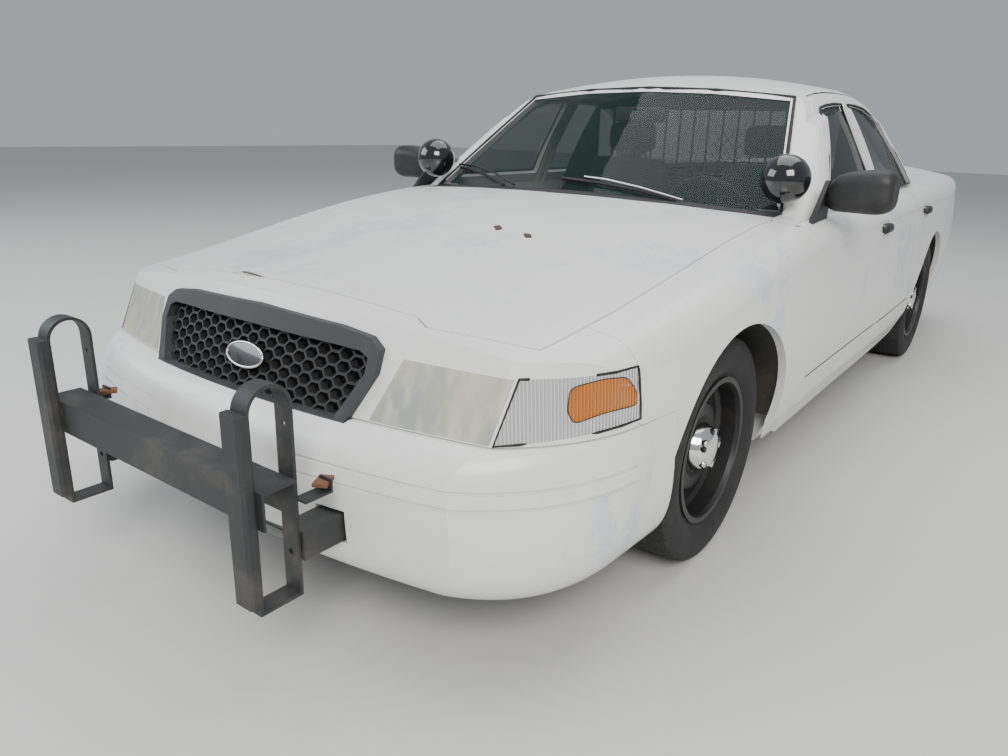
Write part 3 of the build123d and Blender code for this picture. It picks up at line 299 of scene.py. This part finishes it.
LOOK = {
    "hood": HOOD_PAINT, "windshield": SCREEN_TINT_AND_PAINTED_SHADE, "headlamps": LENS, "corner_lamps": CLEAR,
    "tail_lamps": RED, "push_bumper": PUSH, "frame": UNDER, "front_suspension": UNDER,
    "rear_axle": UNDER, "knuckle_left": UNDER, "knuckle_right": UNDER, "engine_block": IRON,
    "exhaust": STEEL, "fuel_tank": STEEL, "grille_surround": CHARCOAL, "grille_mesh": BLACK,
    "dashboard": DASH, "steering_wheel": BLACK, "front_seats": CLOTH, "rear_bench": CLOTH,
    "floor_pan": UNDER, "wheelhouses": UNDER, "radiator_support": UNDER, "firewall": BLACK,
    "partition": BLACK, "spotlights": GLOSS, "mirror_left": BLACK, "mirror_right": BLACK,
    "rear_window": WINDOW_TINT_AND_PAINTED_SHADE,
}
PREFIX = {"tyre_": TYRE, "rim_": WHEEL, "front_glass": WINDOW_TINT_AND_PAINTED_SHADE, "rear_glass": WINDOW_TINT_AND_PAINTED_SHADE}


def dress(node, obj):
    look = LOOK.get(node, PAINT)
    for start, mat in PREFIX.items():
        if node.startswith(start):
            look = mat
    obj.data.materials.clear()
    obj.data.materials.append(look)


for node, obj in NODES.items():
    dress(node, obj)


# Places on the nodes: each fine piece lies on the node that carries it
def at(x, s, z):
    # millimetres, s behind the front axle
    return Vector((x / 1000, FRONT_AXLE_Y + s / 1000, z / 1000))


TREES = {}
BESIDE_X = 3000
BEHIND_S = 8000


def cast(node, origin, way):
    # the first place on the node along the way, and its normal back towards the origin
    if node not in TREES:
        mesh = NODES[node].data
        places = [v.co for v in mesh.vertices]
        TREES[node] = BVHTree.FromPolygons(places, [f.vertices for f in mesh.polygons])
    hit, normal, _, _ = TREES[node].ray_cast(Vector(origin), Vector(way).normalized())
    if hit is None:
        return None
    if normal.dot(Vector(way)) > 0:
        normal = -normal
    return hit, normal


def seen(node):
    # a place on the node, from a pixel of the photograph
    def find(px, py):
        across = right * ((px - PHOTO_W / 2) / PHOTO_FOCAL_PX)
        down = up * ((py - PHOTO_H / 2) / PHOTO_FOCAL_PX)
        return cast(node, CAMERA_AT, forward + across - down)
    return find


def beside(node, hand):
    # a place on the node's outer side, from station and height in millimetres
    def find(s, z):
        return cast(node, at(hand * BESIDE_X, s, z), (-hand, 0, 0))
    return find


def behind(node):
    # a place on the node's rear face, from its two other coordinates in millimetres
    def find(x, z):
        return cast(node, at(x, BEHIND_S, z), (0, -1, 0))
    return find


def laid(outline, find, lift):
    # the outline's points found on the node and lifted off it, without those that miss it
    places = []
    for u, v in outline:
        found = find(u, v)
        if found:
            places.append(found[0] + found[1] * lift)
    return places


# Outlines
def between(a, b, t):
    return tuple(p + (q - p) * t for p, q in zip(a, b))


def closed(points, span):
    # corner points filled out so that no side is longer than the span
    dense = []
    for i, a in enumerate(points):
        b = points[(i + 1) % len(points)]
        count = max(1, math.ceil(math.dist(a, b) / span))
        dense += [between(a, b, k / count) for k in range(count)]
    return dense


def rounded(points, share=0.28, steps=4):
    # outline with its corners eased, each by a curve from share along one side to the next
    result = []
    for i, b in enumerate(points):
        p = between(b, points[i - 1], share)
        q = between(b, points[(i + 1) % len(points)], share)
        for j in range(steps + 1):
            t = j / steps
            result.append(between(between(p, b, t), between(b, q, t), t))
    return result


def hull(points):
    # convex outline of flat points
    points = sorted(set(points))
    chain = []
    for walk in (points, points[::-1]):
        part = []
        for p in walk:
            while len(part) > 1 and (
                (part[-1][0] - part[-2][0]) * (p[1] - part[-2][1])
                - (part[-1][1] - part[-2][1]) * (p[0] - part[-2][0])
            ) <= 0:
                part.pop()
            part.append(p)
        chain += part[:-1]
    return chain


def rim_of(node, across, along, depth, sign, keep=None):
    # a node's outline in the axes across and along; of places that share a spot there,
    # the furthest towards sign in the depth axis is kept
    places = {}
    for v in NODES[node].data.vertices:
        if keep is None or keep(v.co):
            key = (round(v.co[across], 4), round(v.co[along], 4))
            if key not in places or v.co[depth] * sign > places[key][depth] * sign:
                places[key] = v.co.copy()
    return [places[k] for k in hull(list(places))]


# Pieces
def add(name, data, look, body):
    obj = bpy.data.objects.new(name, data)
    bpy.context.scene.collection.objects.link(obj)
    data.materials.append(look)
    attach(obj, body)
    return obj


def smoothed(mesh):
    for face in mesh.polygons:
        face.use_smooth = True
    return mesh


def mesh_of(name, verts, faces):
    mesh = bpy.data.meshes.new(name)
    mesh.from_pydata([tuple(v) for v in verts], [], faces)
    mesh.update()
    return smoothed(mesh)


def flip(point):
    return Vector((-point.x, point.y, point.z))


def patch(name, outline, find, lift, look, body, rings=5, mirrored=False):
    # a thin skin that follows the surface under it
    centre = tuple(sum(p[k] for p in outline) / len(outline) for k in (0, 1))
    spots = [centre]
    for k in range(1, rings + 1):
        spots += [between(centre, p, k / rings) for p in outline]
    verts = laid(spots, find, lift)
    if len(verts) < len(spots):
        return
    n = len(outline)
    faces = [(0, 1 + i, 1 + (i + 1) % n) for i in range(n)]
    for k in range(rings - 1):
        low, high = 1 + k * n, 1 + (k + 1) * n
        for i in range(n):
            j = (i + 1) % n
            faces.append((low + i, high + i, high + j, low + j))
    add(name, mesh_of(name, verts, faces), look, body)
    if mirrored:
        twin = mesh_of(name, [flip(v) for v in verts], [f[::-1] for f in faces])
        add(name + "_right", twin, look, body)


def tube(name, places, radius, look, body, ring=False, mirrored=False):
    runs = [("", places)]
    if mirrored:
        runs.append(("_right", [flip(v) for v in places]))
    for tag, points in runs:
        data = bpy.data.curves.new(name + tag, "CURVE")
        data.dimensions = "3D"
        data.bevel_depth = radius
        data.bevel_resolution = 2
        data.use_fill_caps = True
        spline = data.splines.new("POLY")
        spline.points.add(len(points) - 1)
        for point, place in zip(spline.points, points):
            point.co = (*place, 1)
        spline.use_cyclic_u = ring
        add(name + tag, data, look, body)


def brick(name, centre, size, look, body, bevel, turn=None, segments=3):
    # a block with rounded edges
    work = bmesh.new()
    bmesh.ops.create_cube(work, size=1)
    bmesh.ops.scale(work, vec=size, verts=work.verts)
    bmesh.ops.bevel(work, geom=work.edges[:], offset=bevel, segments=segments, profile=0.5,
                    affect="EDGES")
    if turn:
        bmesh.ops.rotate(work, matrix=turn, verts=work.verts)
    bmesh.ops.translate(work, vec=centre, verts=work.verts)
    mesh = bpy.data.meshes.new(name)
    work.to_mesh(mesh)
    work.free()
    return add(name, smoothed(mesh), look, body)


def turned(name, profile, centre, hand, look, body, sides=48):
    # profile of (x, radius) in millimetres spun round the axle
    verts, faces = [], []
    for x, r in profile:
        for k in range(sides):
            a = 2 * math.pi * k / sides
            spoke = Vector((hand * x, r * math.cos(a), r * math.sin(a))) / 1000
            verts.append(spoke + centre)
    for row in range(len(profile) - 1):
        low, high = row * sides, (row + 1) * sides
        for k in range(sides):
            n = (k + 1) % sides
            faces.append((low + k, low + n, high + n, high + k))
    if hand < 0:
        faces = [f[::-1] for f in faces]
    return add(name, mesh_of(name, verts, faces), look, body)


# Lamps: the amber insert from its pixels, on both sides, and the gaskets
AMBER_EDGE = rounded([
    (570, 388), (604, 379), (627, 377), (636, 390),
    (637, 405), (604, 413), (574, 424), (567, 412),
])
AMBER_RIM_SPAN_PX = 6
AMBER_RIM_LEAST = 8
X, Y, Z = 0, 1, 2

patch("amber_insert", AMBER_EDGE, seen("corner_lamps"), 0.0012, AMBER, "body", 6, True)
amber_line = laid(closed(AMBER_EDGE, AMBER_RIM_SPAN_PX), seen("corner_lamps"), 0.001)
if len(amber_line) > AMBER_RIM_LEAST:
    tube("amber_rim", amber_line, 0.0012, RUBBER, "body", True, True)
for hand, tag in SIDES:
    edge = rim_of("corner_lamps", X, Z, Y, -1, lambda c, h=hand: c.x * h > 0)
    tube("corner_gasket_" + tag, edge, 0.0035, RUBBER, "body", True)

# Gaskets round the screens and the door glass
GASKET_R = 0.0075
DOOR_SEAL_R = 0.0065
DOOR_SEAL_SHARE = 0.975
DOOR_SEAL_OUT = 0.012
for name, node, sign in (("screen_gasket", "windshield", -1), ("rear_gasket", "rear_window", 1)):
    proud = Vector((0, sign * 0.002, 0.003))
    edge = [c + proud for c in rim_of(node, X, Z, Y, sign)]
    tube(name, edge, GASKET_R, RUBBER, "body", True)
for name in ("front", "rear"):
    for hand, tag in SIDES:
        edge = rim_of(name + "_glass_" + tag, Y, Z, X, hand)
        mid = sum(edge, Vector()) / len(edge)
        proud = Vector((hand * DOOR_SEAL_OUT, 0, 0))
        edge = [mid + (c - mid) * DOOR_SEAL_SHARE + proud for c in edge]
        tube(name + "_glass_seal_" + tag, edge, DOOR_SEAL_R, RUBBER,
             name + "_door_" + tag, True)

# Blank oval badge on the grille: half width and half height of its rim and of its face
BADGE_AT = at(0, -939, 664)
BADGE_TURN = Matrix.Rotation(math.radians(-23), 3, "X")
BADGE_RIM = (0.072, 0.031)
BADGE_FACE = (0.070, 0.029)
BADGE_CROWN = 0.006
BADGE_PROUD = 0.002
BADGE_SIDES = 48


def badge_oval(half, proud):
    places = []
    for k in range(BADGE_SIDES):
        a = 2 * math.pi * k / BADGE_SIDES
        spot = Vector((half[0] * math.cos(a), -proud, half[1] * math.sin(a)))
        places.append(BADGE_AT + BADGE_TURN @ spot)
    return places


badge_face = [BADGE_AT + BADGE_TURN @ Vector((0, -BADGE_CROWN, 0))]
badge_face += badge_oval(BADGE_FACE, BADGE_PROUD)
badge_fan = [(0, 1 + k, 1 + (k + 1) % BADGE_SIDES) for k in range(BADGE_SIDES)]
tube("badge_ring", badge_oval(BADGE_RIM, 0), 0.0036, CHROME, "body", True)
add("badge_oval", mesh_of("badge_oval", badge_face, badge_fan), BLANK, "body")
brick("badge_stalk", BADGE_AT + Vector((0, 0.016, 0)), (0.05, 0.03, 0.02), BLACK, "body", 0.003)

# Black pulls of the door handles: front end, rear end and height in millimetres
PULL_X = 972
PULL_OVER = 8
for name, s0, s1, z in (("front", 1500, 1620, 864), ("rear", 2440, 2545, 878)):
    for hand, tag in SIDES:
        size = (0.050, (s1 - s0 + PULL_OVER) / 1000, 0.040)
        brick(name + "_pull_" + tag, at(hand * PULL_X, (s0 + s1) / 2, z), size, BLACK,
              name + "_door_" + tag, 0.0165, segments=5)

# Wheels: bright caps with five lug bumps, as (x, radius) in millimetres
CAP = [
    (43, 79), (52, 79), (61, 75.5), (75, 70), (87.4, 63),
    (95, 54), (101.4, 41), (103.4, 22), (103.8, 0.2),
]
LUG = [(84, 11.4), (97, 11.4), (99.8, 9), (100.6, 0.2)]
LUG_COUNT = 5
LUG_CIRCLE_R = 0.054
LUG_FACETS = 16
for end in ("front", "rear"):
    for hand, tag in SIDES:
        name = end + "_" + tag
        low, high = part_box("tyre_" + name)
        hub = (Vector(low) + Vector(high)) / 2
        turned("cap_" + name, CAP, hub, hand, CHROME, "wheel_" + name)
        for k in range(LUG_COUNT):
            a = 2 * math.pi * k / LUG_COUNT
            lug = hub + Vector((0, LUG_CIRCLE_R * math.cos(a), LUG_CIRCLE_R * math.sin(a)))
            turned("lug_%s_%d" % (name, k), LUG, lug, hand, CHROME, "wheel_" + name, LUG_FACETS)

# Wipers parked on the screen and the cowl: side, arm, blade
WIPERS = (
    ("left", [(683, 205), (640, 192), (607, 184), (586, 181)],
     [(563, 180), (600, 185), (640, 193), (676, 203)]),
    ("right", [(516, 189), (497, 177), (478, 170), (462, 168)],
     [(437, 166), (462, 169), (486, 176), (505, 187)]),
)
ARM_LIFT = 0.022
BLADE_LIFT = 0.010


def on_cowl(px, py):
    for node in ("windshield", "firewall", "hood"):
        found = seen(node)(px, py)
        if found:
            return found
    return None


for tag, arm, blade in WIPERS:
    arm_line = laid(arm, on_cowl, ARM_LIFT)
    blade_line = laid(blade, on_cowl, BLADE_LIFT)
    if len(arm_line) > 1:
        look = CHROME if tag == "left" else BLACK
        tube("wiper_arm_" + tag, arm_line, 0.0045, look, "body")
    if len(blade_line) > 1:
        tube("wiper_blade_" + tag, blade_line, 0.006, BLACK, "body")

# Bonnet: chips down to bare metal; rusty clips beside the uprights
CHIPS = [
    [(231, 273), (246, 271), (262, 276), (270, 280), (252, 280), (236, 278)],
    [(493, 226), (500, 225), (503, 229), (496, 231)],
    [(523, 233), (531, 234), (532, 238), (525, 238)],
    [(283, 223), (287, 222), (288, 225), (284, 226)],
]
for k, chip in enumerate(CHIPS):
    patch("chip_%d" % k, rounded(chip, 0.2, 2), seen("hood"), 0.0007, BARE, "hood", 3)
CLIP_TURN = 0.5
for hand, tag in SIDES:
    brick("clip_" + tag, at(hand * 452, -1080, 500), (0.034, 0.05, 0.010), RUST, "body", 0.002,
          Matrix.Rotation(hand * CLIP_TURN, 3, "Z"))

# Painted shade of the groove along the foot of each door, drawn as a thin black tube on the
# panel: front end and rear end in millimetres
GROOVE_Z = 432
GROOVE_RISE = 4
GROOVE_STEPS = 24
for name, s0, s1 in (("front", 625, 1640), ("rear", 1675, 2380)):
    for hand, tag in SIDES:
        body = name + "_door_" + tag
        run = [between((s0, GROOVE_Z), (s1, GROOVE_Z + GROOVE_RISE), k / GROOVE_STEPS)
               for k in range(GROOVE_STEPS + 1)]
        tube(name + "_painted_groove_shade_" + tag, laid(run, beside(body, hand), 0.0), 0.0022, RUBBER, body)

# Glass on the rear face of each door mirror
MIRROR_FACE = [(945, 995), (1105, 1002), (1108, 1105), (945, 1100)]
for hand, tag in SIDES:
    face = rounded([(hand * x, z) for x, z in MIRROR_FACE], 0.25, 4)
    patch("mirror_glass_" + tag, face, behind("mirror_" + tag), 0.001, MIRROR,
          "front_door_" + tag, 3)

# Wire mesh in the partition behind the driver, in metres
low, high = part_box("partition")
mesh_y = (low[1] + high[1]) / 2
WINDOW_X0, WINDOW_X1, WINDOW_Z0, WINDOW_Z1, CELL = 0.03, 0.54, 0.93, 1.25, 0.045
STRAND_SLOPE = 0.8
STRAND_SHIFT = 0.25
STRAND_STEPS = 24
strand = 0
for lean in (1, -1):
    for k in range(-8, 14):
        foot = WINDOW_X0 + k * CELL + (0 if lean > 0 else STRAND_SHIFT)
        head = foot + lean * (WINDOW_Z1 - WINDOW_Z0) * STRAND_SLOPE
        inside = []
        for j in range(STRAND_STEPS + 1):
            x, z = between((foot, WINDOW_Z0), (head, WINDOW_Z1), j / STRAND_STEPS)
            if WINDOW_X0 <= x <= WINDOW_X1:
                inside.append(Vector((x, mesh_y, z)))
        if len(inside) > 3:
            tube("guard_%d" % strand, [inside[0], inside[-1]], 0.0016, BLACK, "body")
            strand += 1

# Inside mirror
brick("inside_mirror", at(0, 1130, 1296), (0.235, 0.028, 0.062), BLACK, "body", 0.012)
brick("inside_mirror_stem", at(0, 1098, 1318), (0.014, 0.07, 0.014), BLACK, "body", 0.003)

# Cushions: crowned cloth in place of the plain seats
CLOTH_VOXEL = 0.014
CLOTH_EASE = 14
for node in ("front_seats", "rear_bench"):
    mesh = NODES[node].data.copy()
    mesh.materials.clear()
    pad = add(node + "_cloth", mesh, CLOTH, "body")
    remesh = pad.modifiers.new("voxels", "REMESH")
    remesh.mode = "VOXEL"
    remesh.voxel_size = CLOTH_VOXEL
    ease = pad.modifiers.new("ease", "SMOOTH")
    ease.iterations = CLOTH_EASE
    graph = bpy.context.evaluated_depsgraph_get()
    soft = bpy.data.meshes.new_from_object(pad.evaluated_get(graph))
    pad.modifiers.clear()
    pad.data = smoothed(soft)
    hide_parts(node)

# Floor and light
FLOOR_SIZE = 60
bpy.ops.mesh.primitive_plane_add(size=FLOOR_SIZE)
floor = bpy.context.object
floor.name = "floor"
floor.data.materials.append(plain("floor_pale", (0.62, 0.62, 0.60), 0.8))

SKY = (0.72, 0.76, 0.82)
SKY_STRENGTH = 0.55
world = bpy.data.worlds.new("studio")
bpy.context.scene.world = world
world.use_nodes = True
background = world.node_tree.nodes["Background"]
background.inputs["Color"].default_value = (*SKY, 1)
background.inputs["Strength"].default_value = SKY_STRENGTH


def soft_light(name, place, target, size, power, colour=(1, 1, 1)):
    data = bpy.data.lights.new(name, "AREA")
    data.shape = "RECTANGLE"
    data.size, data.size_y = size
    data.energy = power
    data.color = colour
    lamp = bpy.data.objects.new(name, data)
    bpy.context.scene.collection.objects.link(lamp)
    lamp.location = place
    aim = Vector(target) - Vector(place)
    lamp.rotation_euler = aim.to_track_quat("-Z", "Y").to_euler()


soft_light("key", (5.5, -7.0, 6.0), (0, -0.8, 0.6), (5, 4), 800, (1.0, 0.97, 0.93))
soft_light("fill", (-6.5, -5.5, 4.5), (0, -0.5, 0.6), (6, 4), 330, (0.9, 0.95, 1.0))
soft_light("top", (0, 1.0, 7.5), (0, 0.5, 0), (7, 9), 430)

# Camera
camera_data = bpy.data.cameras.new("photo_camera")
camera_data.sensor_width = SENSOR_MM
camera_data.lens = PHOTO_FOCAL_PX / PHOTO_W * SENSOR_MM
camera = bpy.data.objects.new("photo_camera", camera_data)
bpy.context.scene.collection.objects.link(camera)
camera.matrix_world = Matrix((
    (right.x, up.x, -forward.x, CAMERA_AT.x),
    (right.y, up.y, -forward.y, CAMERA_AT.y),
    (right.z, up.z, -forward.z, CAMERA_AT.z),
    (0, 0, 0, 1),
))
bpy.context.scene.camera = camera
